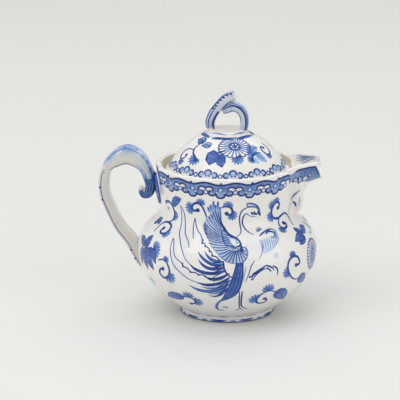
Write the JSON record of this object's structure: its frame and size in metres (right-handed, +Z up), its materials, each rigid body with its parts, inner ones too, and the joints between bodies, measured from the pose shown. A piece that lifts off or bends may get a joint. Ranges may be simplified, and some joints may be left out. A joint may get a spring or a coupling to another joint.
{
  "type": "teapot",
  "caption": "Bellied porcelain teapot with a lobed rim, open pouring beak, scrolled handle and lift-off domed lid with a loop knob, painted in blue.",
  "frame": {"origin": "centre of the foot ring on the plane the pot stands on", "axes": "+Z up along the pot's axis, +X towards the pouring beak, so the handle is on -X; mm in the source, metres here"},
  "size_m": [0.1677, 0.134, 0.1688],
  "materials": {
    "porcelain": "white glazed porcelain with cobalt blue painting under the glaze",
    "blue_wash": "glazed porcelain under a cobalt blue wash with darker outlines"
  },
  "bodies": {
    "pot": {"pot_body": "porcelain", "spout_beak": "porcelain", "handle_scroll": "blue_wash", "handle_strap": "porcelain", "handle_leaf": "blue_wash"},
    "lid": {"lid_dome": "porcelain", "lid_flange": "porcelain", "knob_pad": "porcelain", "knob_leaf": "blue_wash", "knob_scroll": "blue_wash"}
  },
  "joints": [
    {"name": "lid_lift", "type": "slide", "parent": "pot", "child": "lid", "axis": [0, 0, 1], "range_m": [0, 0.08]}
  ]
}
